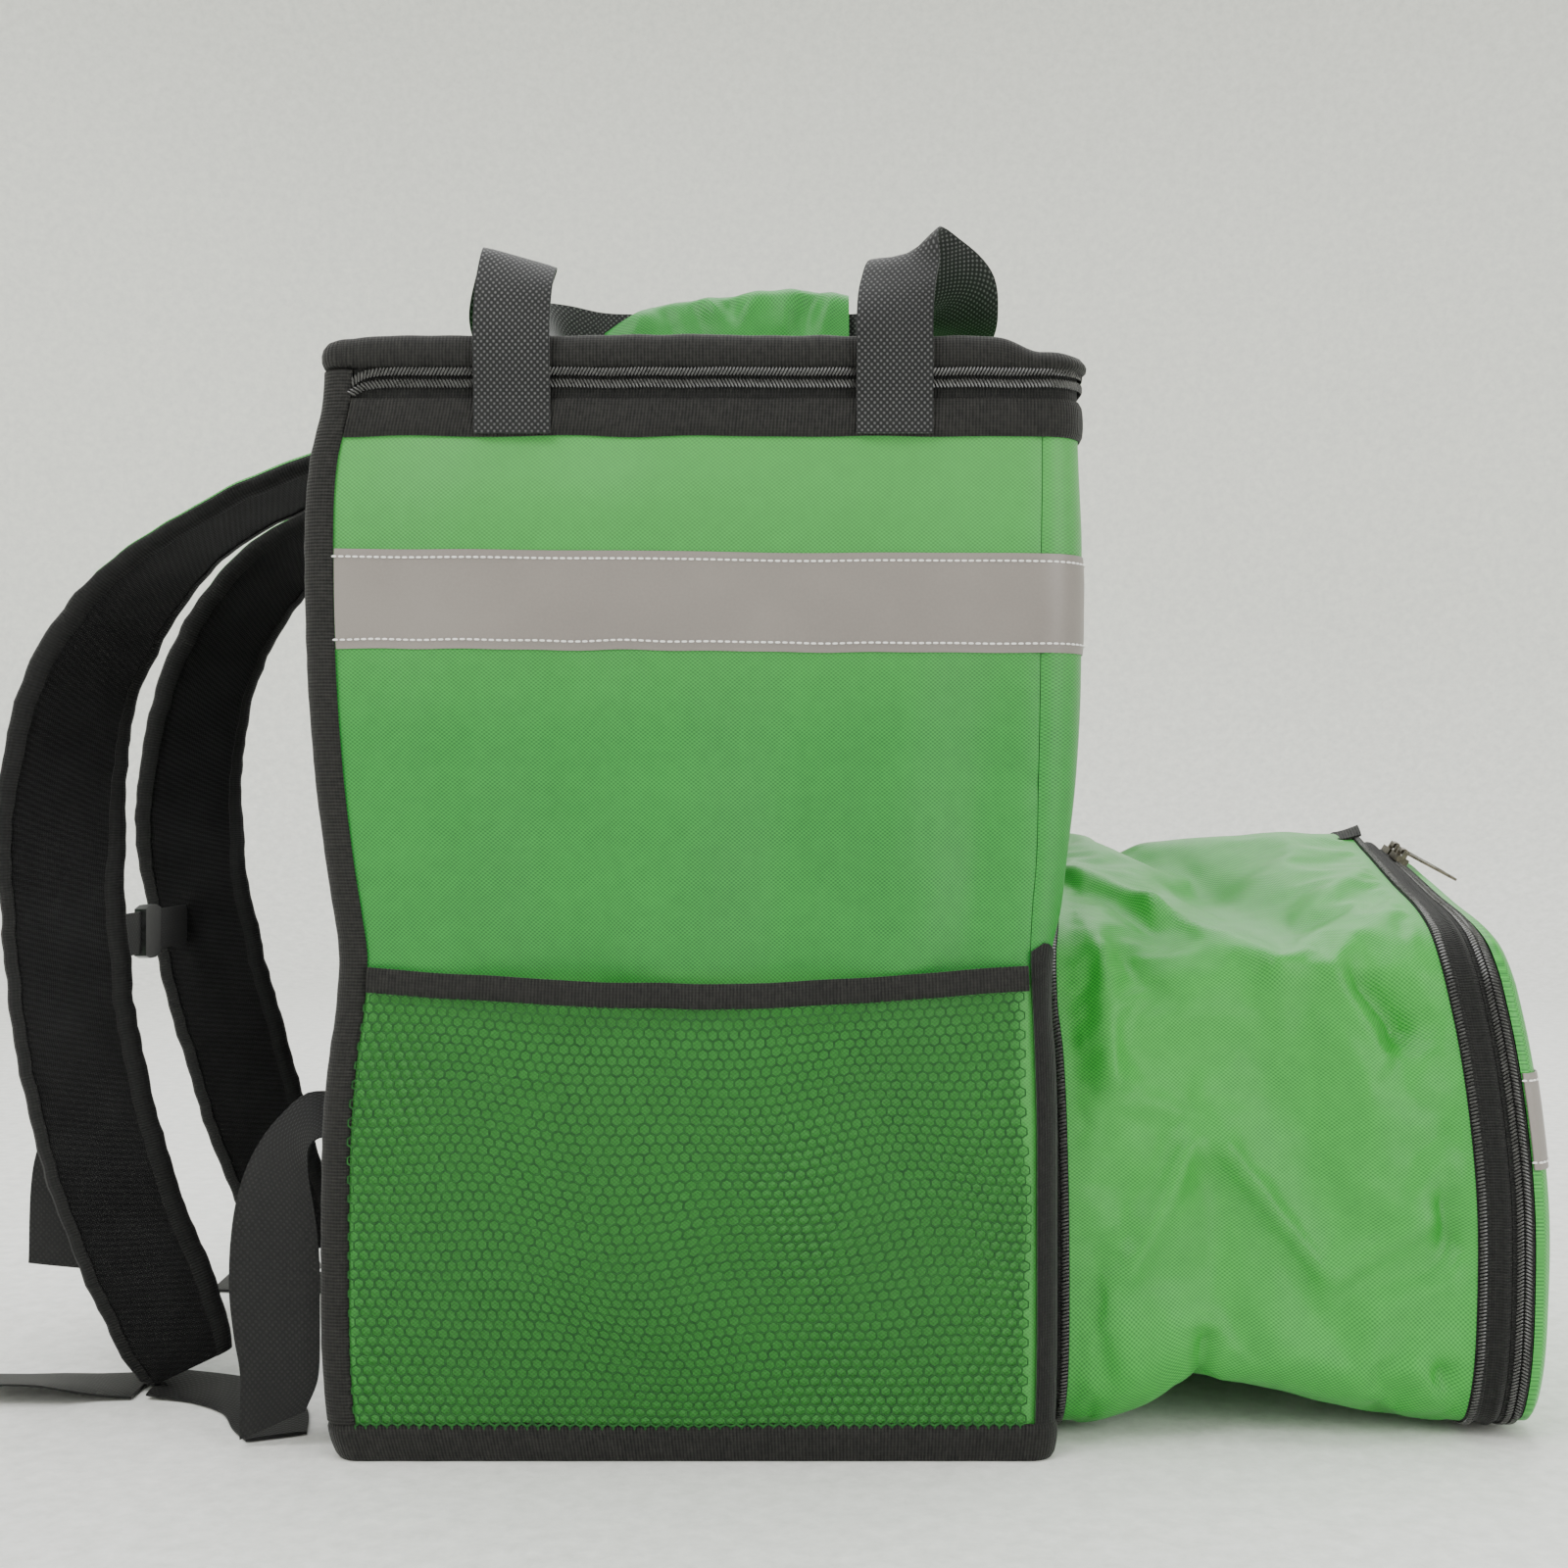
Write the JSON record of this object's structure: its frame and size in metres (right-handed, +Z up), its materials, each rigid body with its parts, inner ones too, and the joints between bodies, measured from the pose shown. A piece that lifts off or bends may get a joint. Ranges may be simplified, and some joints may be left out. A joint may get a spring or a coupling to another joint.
{
  "type": "insulated delivery backpack",
  "caption": "Square insulated backpack with a zipped lid, padded straps, top handles, mesh side pockets and an expanded zipped front compartment.",
  "frame": {"origin": "on the floor under the middle of the main body, in the flat underside of the base", "axes": "+X towards the bag's front, +Y to its far side, +Z up"},
  "size_m": [0.8493, 0.4608, 0.631],
  "materials": {
    "green_fabric": "coated woven polyester, soft sheen",
    "black_fabric": "ribbed binding, matte",
    "air_mesh": "ribbed spacer mesh over foam, matte",
    "webbing": "basket weave webbing, matte",
    "reflective": "grey reflective tape, satin",
    "coil": "moulded zipper coil",
    "net": "hexagonal net",
    "plastic": "moulded, satin",
    "metal": "dark, satin"
  },
  "bodies": {
    "bag": {"base_panel": "green_fabric", "near_side_panel": "green_fabric", "far_side_panel": "green_fabric", "front_panel": "green_fabric", "back_panel": "air_mesh", "bottom_binding": "black_fabric", "near_back_binding": "black_fabric", "far_back_binding": "black_fabric", "top_band": "black_fabric", "reflective_tape": "reflective", "lid_zipper": "coil", "lid_rim": "black_fabric", "lid_panel": "green_fabric", "lid_slider": "metal", "near_mesh_pocket": "net", "far_mesh_pocket": "net", "near_pocket_binding": "black_fabric", "far_pocket_binding": "black_fabric", "body_zipper_half": "coil", "near_zipper_tape": "black_fabric", "far_zipper_tape": "black_fabric", "compartment_gusset": "green_fabric", "outer_zipper_half": "coil", "outer_band": "black_fabric", "pocket_zipper": "coil", "front_pocket_panel": "green_fabric", "pocket_strip": "reflective", "tape_end_flap": "black_fabric", "near_shoulder_strap": "air_mesh", "far_shoulder_strap": "air_mesh", "near_handle": "webbing", "far_handle": "webbing", "grip_wrap": "green_fabric", "near_lower_webbing": "webbing", "far_lower_webbing": "webbing", "near_floor_webbing": "webbing", "far_floor_webbing": "webbing", "near_webbing_tail": "webbing", "far_webbing_tail": "webbing", "strap_flap": "webbing", "near_sternum_strap": "webbing", "far_sternum_strap": "webbing", "sternum_buckle": "plastic", "near_ladder_lock": "plastic", "far_ladder_lock": "plastic", "zip_slider_1": "metal", "zip_slider_2": "metal"},
    "pull_1": {"zip_pull_1": "metal"},
    "pull_2": {"zip_pull_2": "metal"}
  },
  "joints": [
    {"name": "zip_pull_1_turn", "type": "hinge", "parent": "bag", "child": "pull_1", "pos_m": [0.41595, -0.00985, 0.30017], "axis": [0.0096, -0.9782, -0.2077], "range_deg": [0, 150]},
    {"name": "zip_pull_2_turn", "type": "hinge", "parent": "bag", "child": "pull_2", "pos_m": [0.41597, -0.0251, 0.297], "axis": [0.0096, -0.9782, -0.2077], "range_deg": [0, 150]}
  ]
}
